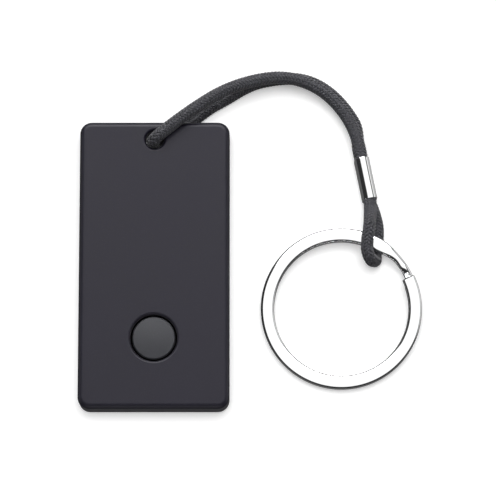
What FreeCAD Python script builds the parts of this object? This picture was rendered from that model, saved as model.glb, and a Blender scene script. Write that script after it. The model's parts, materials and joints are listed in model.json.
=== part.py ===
"""Bluetooth tracker tag on a braided cord loop that carries a split key ring.

Sizes are millimetres. X runs across the tag, Y along it towards the cord hole and Z
out of the front face. The origin is the centre of the tag's back face.
"""
import math
import os

import FreeCAD
import Part

V = FreeCAD.Vector
UP = V(0, 0, 1)

# Case: a front shell and a snap-fitted back cover that meet at PARTING_Z.
CASE_W = 28.0
CASE_L = 54.0
CASE_H = 6.4
CASE_CORNER_R = 2.2
FRONT_EDGE_R = 1.0
BACK_EDGE_R = 0.8
PARTING_Z = 2.35
SIDE_WALL = 1.3
FRONT_WALL = 1.2
BACK_WALL = 1.1
CAVITY_TOP_Y = 19.5
CAVITY_CORNER_R = 1.0
LIP_T = 0.7
LIP_H = 0.7
LIP_GAP = 0.05
SNAP_L = 5.0
SNAP_H = 0.3
SNAP_DEPTH = 0.2
SNAP_Y = (-17.0, 8.0)
PRY_SLOT_L = 6.0

# Cord hole and the relief under it that lets the cord leave below the hole.
HOLE_Y = 23.6
HOLE_R = 1.7
HOLE_RIM_R = 0.5
RELIEF_HALF_W = 8.5
RELIEF_Y = 20.6
RELIEF_CORNER_R = 1.0

# Push button with a flange under the front wall and a nub over the switch.
BUTTON_Y = -13.8
BUTTON_R = 4.0
BUTTON_HOLE_R = 4.35
BUTTON_HOLE_RIM_R = 0.45
BUTTON_EDGE_Z = 5.75
BUTTON_CROWN = 0.2
BUTTON_EDGE_R = 0.3
FLANGE_R = 4.8
FLANGE_Z = 4.75
FLANGE_T = 0.4
NUB_R = 1.2
NUB_L = 0.3

# Circuit board with a round cut-out for the cell.
BOARD_W = 23.6
BOARD_Y0 = -24.8
BOARD_Y1 = 18.6
BOARD_Z = 2.6
BOARD_T = 0.8
BOARD_TOP = BOARD_Z + BOARD_T
BOARD_CORNER_R = 0.8
CELL_CUTOUT_R = 10.4
SCREW_SPOTS = ((-9.7, -22.6), (9.7, -22.6), (-9.4, 16.4), (9.4, 16.4))
SCREW_R = 0.7
SCREW_HEAD_R = 1.25
SCREW_HEAD_T = 0.6
SCREW_TIP_Z = 4.9
SCREW_SLOT_DEPTH = 0.35
SCREW_SLOT_HALF_W = 0.13
BOSS_R = 1.6
BOARD_HOLE_R = 0.8

# Tactile switch.
SWITCH_W = 4.8
SWITCH_BASE_T = 0.65
SWITCH_FLOOR_T = 0.15
SWITCH_POCKET_R = 1.7
SWITCH_COVER_T = 0.12
SWITCH_TAB_T = 0.12
DOME_R = 1.6
DOME_H = 0.33
DOME_T = 0.06
PLUNGER_R = 1.0
PLUNGER_RIM_R = 1.5
PLUNGER_RIM_T = 0.1
PLUNGER_Z = 3.9
PLUNGER_TOP = 4.43
PLUNGER_HOLE_R = 1.1

# Coin cell, 20 mm across and 3.2 mm thick, positive side down.
CELL_Y = 5.0
CELL_Z = 1.15
CELL_R = 10.0
CELL_H = 3.2
CELL_SHEET = 0.25
CAP_R = 8.85
CATHODE_T = 1.8
SEPARATOR_T = 0.15

# Piezo sounder on the inside of the back cover.
PIEZO_Y = -15.5
PIEZO_R = 7.5
PIEZO_RING_R = 6.4
PIEZO_RING_T = 0.3
PIEZO_PLATE_T = 0.15
PIEZO_CERAMIC_R = 5.0
PIEZO_CERAMIC_T = 0.15
LEAD_R = 0.15

# Cord. The two strands leave the hole one over the other and follow a plan path of
# arcs that turn clockwise: each entry is the arc's radius and the angle it turns.
CORD_R = 1.1
CORD_HEADING = 39.3
CORD_ARCS = ((95.0, 6.4), (29.3, 24.1), (13.8, 48.7), (17.2, 39.0))
CORD_RUN_IN = 2.0
CORD_RUN_OUT = 2.0
CORD_BEND_R = 1.6
CORD_BEND_SHIFT = 0.5
FRONT_STRAND_Z = 7.55
BACK_STRAND_Z = 1.15
STRAND_PITCH = 2.22
STRAND_STEP = 3.0

# How far the back strand lies left of the front strand, against path length.
BACK_OFFSET = ((2.0, 0.0), (6.0, -0.8), (14.0, -0.5), (24.0, 0.65), (33.0, 1.25), (43.0, 1.0), (48.2, 0.0))

# Flex points along the cord and the round knuckles that the links turn on.
FLEX_AT = (13.0, 26.5, 40.0)
KNUCKLE_R = 1.75
KNUCKLE_GAP = 0.05
LIFT_AT = 1.0
LIFT_KNUCKLE_R = 2.5

# Crimp ferrule, an oval tube round both strands.
FERRULE_L = 8.0
FERRULE_BORE_R = 1.12
FERRULE_WALL = 0.28
FERRULE_Z = 2.53
FERRULE_EDGE_R = 0.1

# Split ring: flat wire in two coils, tipped so that its far side touches the ground.
RING_R = 15.0
RING_WIRE_W = 2.5
RING_WIRE_T = 1.28
RING_COIL_PITCH = 1.3
RING_EDGE_R = 0.5
RING_X = 34.8
RING_Y = -7.9
RING_TILT = 5.0
RING_TILT_TOWARDS = 72.0
RING_GROUND_GAP = 0.02
RING_TOP_END = 25.0
RING_JOG_START = 60.0
RING_H = RING_COIL_PITCH + RING_WIRE_T

# Ring loop: an upper and a lower run from the ferrule mouth, joined by a half turn
# inside the ring. Each point is distance past the mouth, distance to the left, height.
LOOP_TURN_AT = 9.45
LOOP_UPPER = (
    (0.0, 0.0, 3.64),
    (2.4, -0.5, 4.3),
    (4.3, -1.0, 5.6),
    (5.9, -1.5, 6.45),
    (7.6, -2.15, 6.55),
    (LOOP_TURN_AT, -2.65, 6.2),
)
LOOP_LOWER = (
    (0.0, 0.0, 1.42),
    (2.5, 0.4, 1.2),
    (5.0, 0.5, 1.15),
    (7.6, -0.05, 1.15),
    (LOOP_TURN_AT, -0.9, 1.2),
)


def disc(radius, z0, z1, x=0.0, y=0.0):
    """A solid cylinder standing between two heights."""
    return Part.makeCylinder(radius, z1 - z0, V(x, y, z0))


def tube(outer, inner, z0, z1, x=0.0, y=0.0):
    """A round tube standing between two heights."""
    return disc(outer, z0, z1, x, y).cut(disc(inner, z0, z1, x, y))


def block(x0, x1, y0, y1, z0, z1):
    """A box given by its limits."""
    return Part.makeBox(x1 - x0, y1 - y0, z1 - z0, V(x0, y0, z0))


def upright_edges(shape):
    """The straight edges of a shape that run along Z."""
    found = []
    for edge in shape.Edges:
        if len(edge.Vertexes) != 2:
            continue
        step = edge.Vertexes[1].Point - edge.Vertexes[0].Point
        if math.hypot(step.x, step.y) < 1e-6:
            found.append(edge)
    return found


def edges_at(shape, z):
    """The edges of a shape that lie wholly at one height."""
    found = []
    for edge in shape.Edges:
        box = edge.BoundBox
        if abs(box.ZMin - z) < 1e-6 and abs(box.ZMax - z) < 1e-6:
            found.append(edge)
    return found


def rounded_block(x0, x1, y0, y1, z0, z1, radius):
    """A box whose upright edges are rounded."""
    body = block(x0, x1, y0, y1, z0, z1)
    return body.makeFillet(radius, upright_edges(body))


def revolve(profile, x=0.0, y=0.0):
    """A solid of revolution about Z from (radius, height) corners."""
    points = [V(r, 0, z) for r, z in profile]
    face = Part.Face(Part.makePolygon(points + [points[0]]))
    solid = face.revolve(V(0, 0, 0), UP, 360)
    solid.translate(V(x, y, 0))
    return solid


def strip(profile, thickness, x0, x1):
    """Sheet metal bent along a (y, z) line, seen from the side, with a width in X."""
    parts = []
    for (ya, za), (yb, zb) in zip(profile, profile[1:]):
        length = math.hypot(yb - ya, zb - za)
        leg = Part.makeBox(x1 - x0, length, thickness, V(0, 0, -thickness / 2))
        leg.rotate(V(0, 0, 0), V(1, 0, 0), math.degrees(math.atan2(zb - za, yb - ya)))
        leg.translate(V(x0, ya, za))
        parts.append(leg)
    for y, z in profile[1:-1]:
        bend = Part.makeCylinder(thickness / 2, x1 - x0, V(x0, y, z), V(1, 0, 0))
        parts.append(bend)
    return parts[0].fuse(parts[1:]).removeSplitter()


def lead(points):
    """A thin round wire through a list of points."""
    parts = []
    for a, b in zip(points, points[1:]):
        parts.append(Part.makeCylinder(LEAD_R, a.distanceToPoint(b), a, b - a))
    for point in points[1:-1]:
        parts.append(Part.makeSphere(LEAD_R, point))
    return parts[0].fuse(parts[1:])


def smooth_edge(points, start_way, end_way):
    """A smooth curve through points that leaves and ends along two directions."""
    curve = Part.BSplineCurve()
    curve.interpolate(Points=points, InitialTangent=start_way, FinalTangent=end_way)
    return curve.toShape()


def bar_along(edges, radius, start, start_way, steady):
    """A round bar along joined edges. No edge may run along the steady direction."""
    section = Part.Wire(Part.Circle(start, start_way, radius).toShape())
    sweep = Part.BRepOffsetAPI.MakePipeShell(Part.Wire(edges))
    sweep.setBiNormalMode(steady)
    sweep.add(section)
    sweep.build()
    sweep.makeSolid()
    return sweep.shape()


# Case

def cavity(z0, z1, inset):
    """The room inside the case walls, drawn in by an inset."""
    return rounded_block(
        -CASE_W / 2 + SIDE_WALL + inset,
        CASE_W / 2 - SIDE_WALL - inset,
        -CASE_L / 2 + SIDE_WALL + inset,
        CAVITY_TOP_Y - inset,
        z0,
        z1,
        CAVITY_CORNER_R,
    )


def snap_beads(grow):
    """Snap beads along both sides of the cover's lip, or their grooves when grown."""
    half_w = CASE_W / 2 - SIDE_WALL - LIP_GAP
    beads = []
    for y in SNAP_Y:
        for side in (-1, 1):
            x_in = side * (half_w - LIP_T / 2)
            x_out = side * (half_w + SNAP_DEPTH + grow)
            beads.append(block(
                min(x_in, x_out),
                max(x_in, x_out),
                y - SNAP_L / 2 - grow,
                y + SNAP_L / 2 + grow,
                PARTING_Z + LIP_H / 2 - SNAP_H / 2 - grow,
                PARTING_Z + LIP_H / 2 + SNAP_H / 2 + grow,
            ))
    return beads


def hole_with_rims(body, radius, rim, y, top, bottom=None):
    """Cut a round hole and round its rim at the top and, if given, at the bottom."""
    body = body.cut(disc(radius, -1, CASE_H + 1, 0, y))
    rims = []
    for edge in body.Edges:
        if not isinstance(edge.Curve, Part.Circle):
            continue
        centre = edge.Curve.Center
        on_axis = abs(centre.x) < 1e-6 and abs(centre.y - y) < 1e-6
        on_face = abs(centre.z - top) < 1e-6
        if bottom is not None:
            on_face = on_face or abs(centre.z - bottom) < 1e-6
        if on_axis and on_face and abs(edge.Curve.Radius - radius) < 1e-6:
            rims.append(edge)
    return body.makeFillet(rim, rims)


def front_shell():
    half_w = CASE_W / 2
    half_l = CASE_L / 2
    body = rounded_block(-half_w, half_w, -half_l, half_l, PARTING_Z, CASE_H, CASE_CORNER_R)
    body = body.makeFillet(FRONT_EDGE_R, edges_at(body, CASE_H))
    body = body.cut(cavity(PARTING_Z - 1, CASE_H - FRONT_WALL, 0))
    body = hole_with_rims(body, HOLE_R, HOLE_RIM_R, HOLE_Y, CASE_H, PARTING_Z)
    body = hole_with_rims(body, BUTTON_HOLE_R, BUTTON_HOLE_RIM_R, BUTTON_Y, CASE_H)
    for x, y in SCREW_SPOTS:
        body = body.fuse(disc(BOSS_R, BOARD_TOP, CASE_H - FRONT_WALL, x, y))
        body = body.cut(disc(SCREW_R, BOARD_TOP, SCREW_TIP_Z + 0.1, x, y))
    return body.cut(snap_beads(LIP_GAP)).removeSplitter()


def back_cover():
    half_w = CASE_W / 2
    half_l = CASE_L / 2
    body = rounded_block(-half_w, half_w, -half_l, half_l, 0, PARTING_Z, CASE_CORNER_R)
    body = body.makeFillet(BACK_EDGE_R, edges_at(body, 0))
    body = body.fuse(cavity(PARTING_Z - 0.5, PARTING_Z + LIP_H, LIP_GAP))
    body = body.cut(cavity(BACK_WALL, PARTING_Z + LIP_H + 1, LIP_GAP + LIP_T))
    relief = rounded_block(
        -RELIEF_HALF_W,
        RELIEF_HALF_W,
        RELIEF_Y,
        half_l + 5,
        -1,
        PARTING_Z + 1,
        RELIEF_CORNER_R,
    )
    body = body.cut(relief)
    pry = block(-half_w - 1, -half_w + 0.9, -PRY_SLOT_L / 2, PRY_SLOT_L / 2, 1.5, PARTING_Z + 1)
    body = body.cut(pry.common(block(-half_w - 1, 0, -5, 5, 1.5, PARTING_Z)))
    return body.fuse(snap_beads(0)).removeSplitter()


# Button and switch

def push_button():
    rim = disc(BUTTON_R, FLANGE_Z, BUTTON_EDGE_Z + BUTTON_CROWN, 0, BUTTON_Y)
    crown_r = (BUTTON_R ** 2 + BUTTON_CROWN ** 2) / (2 * BUTTON_CROWN)
    crown_z = BUTTON_EDGE_Z + BUTTON_CROWN - crown_r
    cap = rim.common(Part.makeSphere(crown_r, V(0, BUTTON_Y, crown_z)))
    edges = [e for e in cap.Edges if e.BoundBox.ZMin > BUTTON_EDGE_Z - 0.01 and e.Closed]
    cap = cap.makeFillet(BUTTON_EDGE_R, edges)
    flange = disc(FLANGE_R, FLANGE_Z, FLANGE_Z + FLANGE_T, 0, BUTTON_Y)
    nub = disc(NUB_R, FLANGE_Z - NUB_L, FLANGE_Z, 0, BUTTON_Y)
    return cap.fuse([flange, nub]).removeSplitter()


def switch_base():
    half = SWITCH_W / 2
    base = block(-half, half, BUTTON_Y - half, BUTTON_Y + half, BOARD_TOP, BOARD_TOP + SWITCH_BASE_T)
    base = base.makeFillet(0.3, upright_edges(base))
    pocket = disc(SWITCH_POCKET_R, BOARD_TOP + SWITCH_FLOOR_T, BOARD_TOP + 1, 0, BUTTON_Y)
    return base.cut(pocket)


def switch_cover():
    half = SWITCH_W / 2
    z = BOARD_TOP + SWITCH_BASE_T
    plate = block(-half, half, BUTTON_Y - half, BUTTON_Y + half, z, z + SWITCH_COVER_T)
    plate = plate.makeFillet(0.3, upright_edges(plate))
    for side in (-1, 1):
        y_in = BUTTON_Y + side * half
        y_out = BUTTON_Y + side * (half + SWITCH_TAB_T)
        tab = block(-1.2, 1.2, min(y_in, y_out), max(y_in, y_out), BOARD_TOP + 0.1, z + SWITCH_COVER_T)
        plate = plate.fuse(tab)
    return plate.cut(disc(PLUNGER_HOLE_R, z - 1, z + 1, 0, BUTTON_Y)).removeSplitter()


def switch_dome():
    z = BOARD_TOP + SWITCH_FLOOR_T
    ball_r = (DOME_R ** 2 + DOME_H ** 2) / (2 * DOME_H)
    centre = V(0, BUTTON_Y, z + DOME_H - ball_r)
    shell = Part.makeSphere(ball_r, centre).cut(Part.makeSphere(ball_r - DOME_T, centre))
    return shell.common(disc(DOME_R, z, z + DOME_H + 1, 0, BUTTON_Y))


def switch_plunger():
    rim = disc(PLUNGER_RIM_R, PLUNGER_Z, PLUNGER_Z + PLUNGER_RIM_T, 0, BUTTON_Y)
    stem = disc(PLUNGER_R, PLUNGER_Z, PLUNGER_TOP, 0, BUTTON_Y)
    return rim.fuse(stem).removeSplitter()


def switch_terminals():
    half = SWITCH_W / 2
    tabs = []
    for side in (-1, 1):
        for y in (BUTTON_Y - 1.6, BUTTON_Y + 1.6):
            x_in = side * half
            x_out = side * (half + 0.7)
            x0 = min(x_in, x_out)
            x1 = max(x_in, x_out)
            tabs.append(block(x0, x1, y - 0.4, y + 0.4, BOARD_TOP, BOARD_TOP + 0.15))
    return Part.makeCompound(tabs)


# Board and its parts

def main_board():
    half = BOARD_W / 2
    board = rounded_block(-half, half, BOARD_Y0, BOARD_Y1, BOARD_Z, BOARD_TOP, BOARD_CORNER_R)
    board = board.cut(disc(CELL_CUTOUT_R, 0, CASE_H, 0, CELL_Y))
    for x, y in SCREW_SPOTS:
        board = board.cut(disc(BOARD_HOLE_R, 0, CASE_H, x, y))
    return board


def board_screws():
    screws = []
    for x, y in SCREW_SPOTS:
        head = disc(SCREW_HEAD_R, BOARD_Z - SCREW_HEAD_T, BOARD_Z, x, y)
        head = head.makeFillet(0.2, edges_at(head, BOARD_Z - SCREW_HEAD_T))
        shank = disc(SCREW_R, BOARD_Z, SCREW_TIP_Z, x, y)
        shank = shank.makeChamfer(0.25, edges_at(shank, SCREW_TIP_Z))
        screw = head.fuse(shank)
        z0 = BOARD_Z - SCREW_HEAD_T
        z1 = z0 + SCREW_SLOT_DEPTH
        for dx, dy in ((SCREW_HEAD_R * 0.6, SCREW_SLOT_HALF_W), (SCREW_SLOT_HALF_W, SCREW_HEAD_R * 0.6)):
            screw = screw.cut(block(x - dx, x + dx, y - dy, y + dy, z0, z1))
        screws.append(screw)
    return Part.makeCompound(screws)


def on_board(x, y, w, l, h):
    """A rectangular component standing on the board."""
    return block(x - w / 2, x + w / 2, y - l / 2, y + l / 2, BOARD_TOP, BOARD_TOP + h)


def radio_chip():
    chip = on_board(8.0, -12.6, 5.0, 5.0, 0.85)
    dimple = disc(0.3, BOARD_TOP + 0.8, BOARD_TOP + 1, 8.0 - 1.8, -12.6 + 1.8)
    return chip.cut(dimple)


def lidded_can(x, y, w, l, h):
    """A metal-lidded crystal: a lid set in from the edge of its base."""
    base = on_board(x, y, w, l, h * 0.6)
    lid = block(x - w / 2 + 0.15, x + w / 2 - 0.15, y - l / 2 + 0.15, y + l / 2 - 0.15,
                BOARD_TOP + h * 0.6, BOARD_TOP + h)
    return base.fuse(lid)


def chip_antenna():
    return on_board(0, -23.2, 7.0, 2.0, 1.0)


def boost_inductor():
    body = on_board(-8.0, -12.6, 4.0, 4.0, 1.2)
    return body.makeFillet(0.6, upright_edges(body))


def rows_of(spots, w, l, h):
    """The same small component at several spots."""
    return Part.makeCompound([on_board(x, y, w, l, h) for x, y in spots])


def capacitors():
    spots = [(4.6 + 1.6 * i, -17.0) for i in range(4)]
    spots += [(-4.6 - 1.6 * i, -17.0) for i in range(4)]
    return rows_of(spots, 0.5, 1.0, 0.5)


def resistors():
    spots = [(-4.0 - 1.4 * i, -8.0) for i in range(5)]
    return rows_of(spots, 0.5, 1.0, 0.35)


# Coin cell

def battery_can():
    z0 = CELL_Z
    z1 = CELL_Z + CELL_H - 0.2
    inner = CELL_R - CELL_SHEET
    profile = [
        (0, z0), (CELL_R - 0.3, z0), (CELL_R, z0 + 0.3), (CELL_R, z1 - 0.15), (CELL_R - 0.15, z1),
        (CAP_R + 0.35, z1), (CAP_R + 0.35, z1 - CELL_SHEET), (inner, z1 - CELL_SHEET),
        (inner, z0 + CELL_SHEET), (0, z0 + CELL_SHEET),
    ]
    return revolve(profile, 0, CELL_Y)


def battery_cap():
    z1 = CELL_Z + CELL_H
    z0 = CELL_Z + CELL_SHEET + 0.3
    inner = CAP_R - CELL_SHEET
    profile = [
        (0, z1 - CELL_SHEET), (inner, z1 - CELL_SHEET), (inner, z0), (CAP_R, z0),
        (CAP_R, z1 - 0.2), (CAP_R - 0.2, z1), (0, z1),
    ]
    return revolve(profile, 0, CELL_Y)


def battery_gasket():
    z0 = CELL_Z + CELL_SHEET
    z1 = CELL_Z + CELL_H - 0.2 - CELL_SHEET
    outer = CELL_R - CELL_SHEET
    profile = [
        (CAP_R - 0.3, z0), (outer, z0), (outer, z1), (CAP_R, z1), (CAP_R, z0 + 0.3), (CAP_R - 0.3, z0 + 0.3),
    ]
    return revolve(profile, 0, CELL_Y)


def battery_cathode():
    z0 = CELL_Z + CELL_SHEET
    return disc(CAP_R - 0.45, z0, z0 + CATHODE_T, 0, CELL_Y)


def battery_separator():
    z0 = CELL_Z + CELL_SHEET + CATHODE_T
    return disc(CAP_R - 0.4, z0, z0 + SEPARATOR_T, 0, CELL_Y)


def battery_anode():
    z0 = CELL_Z + CELL_SHEET + CATHODE_T + SEPARATOR_T
    return disc(CAP_R - 0.75, z0, CELL_Z + CELL_H - CELL_SHEET, 0, CELL_Y)


def positive_contact():
    """A blade against the side of the can with a foot on the board."""
    y = CELL_Y - CELL_R - 0.12
    return strip([(y, 1.9), (y, BOARD_TOP + 0.1), (y - 3.0, BOARD_TOP + 0.1)], 0.2, -2.0, 2.0)


def negative_contact():
    """A spring arm from the board over the cell, pressing on its cap."""
    cap_top = CELL_Z + CELL_H
    line = [
        (BOARD_Y1 - 0.3, BOARD_TOP + 0.1),
        (CELL_Y + CELL_R + 0.9, BOARD_TOP + 0.1),
        (CELL_Y + CELL_R + 0.3, cap_top + 0.35),
        (CELL_Y + 3.0, cap_top + 0.1),
        (CELL_Y + 1.6, cap_top + 0.5),
    ]
    return strip(line, 0.2, -1.6, 1.6)


# Piezo sounder

def piezo_ring():
    return tube(PIEZO_R, PIEZO_RING_R, BACK_WALL, BACK_WALL + PIEZO_RING_T, 0, PIEZO_Y)


def piezo_plate():
    z0 = BACK_WALL + PIEZO_RING_T
    return disc(PIEZO_R, z0, z0 + PIEZO_PLATE_T, 0, PIEZO_Y)


def piezo_ceramic():
    z0 = BACK_WALL + PIEZO_RING_T + PIEZO_PLATE_T
    return disc(PIEZO_CERAMIC_R, z0, z0 + PIEZO_CERAMIC_T, 0, PIEZO_Y)


def piezo_leads():
    plate_z = BACK_WALL + PIEZO_RING_T + PIEZO_PLATE_T + LEAD_R
    ceramic_z = plate_z + PIEZO_CERAMIC_T
    top_z = BOARD_Z - LEAD_R
    from_plate = [V(-6.2, PIEZO_Y, plate_z), V(-7.2, PIEZO_Y + 1.5, top_z), V(-8.5, PIEZO_Y + 3, top_z)]
    from_ceramic = [V(3.0, PIEZO_Y, ceramic_z), V(5.5, PIEZO_Y + 1.5, top_z), V(7.0, PIEZO_Y + 3, top_z)]
    return Part.makeCompound([lead(from_plate), lead(from_ceramic)])


# Cord path

def cord_length():
    return CORD_RUN_OUT + sum(r * math.radians(turn) for r, turn in CORD_ARCS) + CORD_RUN_IN


def plan_at(s):
    """Plan position and heading in degrees at a length along the cord path."""
    heading = CORD_HEADING
    run = min(s, CORD_RUN_OUT)
    x = run * math.cos(math.radians(heading))
    y = HOLE_Y + run * math.sin(math.radians(heading))
    s -= run
    for radius, turn in CORD_ARCS:
        length = radius * math.radians(turn)
        part = min(s, length)
        turned = math.degrees(part / radius)
        chord = 2 * radius * math.sin(math.radians(turned) / 2)
        way = math.radians(heading - turned / 2)
        x += chord * math.cos(way)
        y += chord * math.sin(way)
        heading -= turned
        s -= part
        if s <= 0:
            return x, y, heading
    way = math.radians(heading)
    return x + s * math.cos(way), y + s * math.sin(way), heading


def ease(keys, s):
    """A value that eases smoothly from one (length, value) key to the next."""
    if s <= keys[0][0]:
        return keys[0][1]
    for (s0, v0), (s1, v1) in zip(keys, keys[1:]):
        if s <= s1:
            t = (s - s0) / (s1 - s0)
            return v0 + (v1 - v0) * t * t * (3 - 2 * t)
    return keys[-1][1]


def to_side(s, left, z):
    """A point beside the cord path, a distance to the left of it."""
    x, y, heading = plan_at(s)
    way = math.radians(heading + 90)
    return V(x + left * math.cos(way), y + left * math.sin(way), z)


def front_strand(s):
    keys = ((8.0, FRONT_STRAND_Z), (cord_length() - 3, FERRULE_Z + STRAND_PITCH / 2))
    return to_side(s, 0.0, ease(keys, s))


def back_strand(s):
    keys = ((38.0, BACK_STRAND_Z), (cord_length() - 3, FERRULE_Z - STRAND_PITCH / 2))
    return to_side(s, ease(BACK_OFFSET, s), ease(keys, s))


def strand_way(strand, s):
    """The direction in which a strand runs at a length along the path."""
    return (strand(s + 0.02) - strand(s - 0.02)).normalize()


def samples(strand, s0, s1):
    """Points along a strand, STRAND_STEP apart or closer."""
    count = max(2, int(round(abs(s1 - s0) / STRAND_STEP)))
    return [strand(s0 + (s1 - s0) * i / count) for i in range(count + 1)]


# Cord solids

def knuckle(index, radius):
    """The upright cylinder that two links turn on."""
    left = ease(BACK_OFFSET, FLEX_AT[index]) / 2
    centre = to_side(FLEX_AT[index], left, 0)
    return disc(radius, -1, 10, centre.x, centre.y)


def behind(index):
    """Everything before a flex point."""
    half = Part.makeBox(80, 80, 12, V(-80, -40, -1))
    half.rotate(V(0, 0, 0), UP, plan_at(FLEX_AT[index])[2])
    half.translate(to_side(FLEX_AT[index], 0, 0))
    return half


def before_flex(shape, index):
    near = shape.common(behind(index))
    return near.fuse(shape.common(knuckle(index, KNUCKLE_R))).removeSplitter()


def after_flex(shape, index):
    return shape.cut([behind(index), knuckle(index, KNUCKLE_R + KNUCKLE_GAP)])


def strand_edge(strand, s0, s1):
    """The centre line of one strand between two lengths."""
    return smooth_edge(samples(strand, s0, s1), strand_way(strand, s0), strand_way(strand, s1))


def cord_hitch():
    """The cord through the hole: front strand, down the hole, back strand."""
    way = math.radians(CORD_HEADING)

    def at(along, z):
        return V(along * math.cos(way), HOLE_Y + along * math.sin(way), z)

    low = BACK_STRAND_Z + CORD_BEND_R
    high = FRONT_STRAND_Z - CORD_BEND_R
    level_from = CORD_BEND_R - CORD_BEND_SHIFT
    corner = CORD_BEND_R * math.sqrt(0.5)
    reach = FLEX_AT[0] + 4
    front = samples(front_strand, reach, level_from)
    back = samples(back_strand, level_from, reach)
    heading = V(math.cos(way), math.sin(way), 0)
    start_way = strand_way(front_strand, reach) * -1
    edges = [
        smooth_edge(front, start_way, heading * -1),
        Part.Arc(front[-1], at(level_from - corner, high + corner), at(-CORD_BEND_SHIFT, high)).toShape(),
        Part.makeLine(at(-CORD_BEND_SHIFT, high), at(-CORD_BEND_SHIFT, low)),
        Part.Arc(at(-CORD_BEND_SHIFT, low), at(level_from - corner, low - corner), back[0]).toShape(),
        smooth_edge(back, heading, strand_way(back_strand, reach)),
    ]
    body = bar_along(edges, CORD_R, front[0], start_way, heading.cross(UP))
    return before_flex(body, 0)


def cord_link(strand, index):
    """One strand between two neighbouring flex points."""
    s0 = FLEX_AT[index] - 4
    s1 = FLEX_AT[index + 1] + 4
    edge = strand_edge(strand, s0, s1)
    body = bar_along([edge], CORD_R, strand(s0), strand_way(strand, s0), UP)
    return before_flex(after_flex(body, index), index + 1)


def ferrule_frame(shape):
    """Carry a shape drawn at the ferrule mouth, with X past the mouth, into place."""
    x, y, heading = plan_at(cord_length() + FERRULE_L)
    shape.rotate(V(0, 0, 0), UP, heading)
    shape.translate(V(x, y, 0))
    return shape


def lift_knuckle(radius):
    """The level cylinder at the ferrule mouth that the ring loop lifts on."""
    return Part.makeCylinder(radius, 20, V(LIFT_AT, -10, FERRULE_Z), V(0, 1, 0))


def before_lift():
    return Part.makeBox(80, 80, 20, V(-80 + LIFT_AT, -40, -5))


def ferrule_strand(strand):
    """One strand from the last flex point through the ferrule."""
    last = len(FLEX_AT) - 1
    start = FLEX_AT[last] - 4
    straight_from = cord_length() - CORD_RUN_IN
    total = cord_length() + FERRULE_L + LIFT_AT + LIFT_KNUCKLE_R + 1
    way = strand_way(strand, total)
    points = samples(strand, start, straight_from)
    start_way = strand_way(strand, start)
    edges = [smooth_edge(points, start_way, way), Part.makeLine(points[-1], strand(total))]
    body = after_flex(bar_along(edges, CORD_R, points[0], start_way, UP), last)
    near = ferrule_frame(before_lift())
    round_end = ferrule_frame(lift_knuckle(LIFT_KNUCKLE_R))
    return body.common(near.fuse(round_end)).removeSplitter()


def ring_loop():
    """The small loop of cord past the ferrule that holds the ring."""
    upper = [V(*point) for point in LOOP_UPPER]
    lower = [V(*point) for point in reversed(LOOP_LOWER)]
    along = V(1, 0, 0)
    radius = (upper[-1] - lower[0]).Length / 2
    far = (upper[-1] + lower[0]) * 0.5 + along * radius
    start_way = (upper[1] - upper[0]).normalize()
    end_way = (lower[-1] - lower[-2]).normalize()
    edges = [
        smooth_edge(upper, start_way, along),
        Part.Arc(upper[-1], far, lower[0]).toShape(),
        smooth_edge(lower, along * -1, end_way),
    ]
    steady = along.cross(upper[-1] - lower[0])
    body = bar_along(edges, CORD_R, upper[0], start_way, steady)
    body = body.cut([before_lift(), lift_knuckle(LIFT_KNUCKLE_R + KNUCKLE_GAP)])
    return ferrule_frame(body)


def oval(radius):
    """A prism along X with straight sides and half-round top and bottom."""
    low = FERRULE_Z - STRAND_PITCH / 2
    high = FERRULE_Z + STRAND_PITCH / 2
    ends = [Part.makeCylinder(radius, FERRULE_L, V(-FERRULE_L, 0, z), V(1, 0, 0)) for z in (low, high)]
    middle = block(-FERRULE_L, 0, -radius, radius, low, high)
    return middle.fuse(ends).removeSplitter()


def crimp_ferrule():
    body = oval(FERRULE_BORE_R + FERRULE_WALL)
    ends = [e for e in body.Edges if e.BoundBox.XLength < 1e-6]
    body = body.makeFillet(FERRULE_EDGE_R, ends)
    return ferrule_frame(body.cut(oval(FERRULE_BORE_R)))


# Split ring

def ring_section(angle, z):
    """The flat wire's outline at an angle round the ring and a height."""
    half_w = RING_WIRE_W / 2
    half_t = RING_WIRE_T / 2
    middle = RING_R - half_w
    wire_block = Part.makeBox(RING_WIRE_W, 1, RING_WIRE_T, V(middle - half_w, 0, z - half_t))
    edges = [e for e in wire_block.Edges if e.BoundBox.YLength > 0.5]
    rounded = wire_block.makeFillet(RING_EDGE_R, edges)
    for face in rounded.Faces:
        if face.BoundBox.YMax < 1e-6:
            wire = face.OuterWire
            wire.rotate(V(0, 0, 0), UP, angle)
            return wire
    return None


def ring_coil(start, z):
    """One coil of the ring, running clockwise from a start angle."""
    sweep = 360 - (RING_JOG_START - RING_TOP_END)
    face = Part.Face(ring_section(start, z))
    return face.revolve(V(0, 0, 0), V(0, 0, -1), sweep)


def ring_jog():
    """The short length of wire that steps from the top coil down to the bottom one."""
    steps = 8
    wires = []
    for i in range(steps + 1):
        t = i / steps
        drop = t * t * (3 - 2 * t)
        angle = RING_JOG_START + (RING_TOP_END - RING_JOG_START) * t
        wires.append(ring_section(angle, RING_COIL_PITCH * (0.5 - drop)))
    return Part.makeLoft(wires, True, False)


def split_ring():
    top = ring_coil(RING_TOP_END, RING_COIL_PITCH / 2)
    bottom = ring_coil(RING_TOP_END, -RING_COIL_PITCH / 2)
    ring = top.fuse([ring_jog(), bottom])
    tilt = math.radians(RING_TILT)
    way = math.radians(RING_TILT_TOWARDS)
    ring.rotate(V(0, 0, 0), V(math.sin(way), -math.cos(way), 0), RING_TILT)
    height = RING_GROUND_GAP + RING_R * math.sin(tilt) + RING_H / 2 * math.cos(tilt)
    ring.translate(V(RING_X, RING_Y, height))
    return ring


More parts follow.
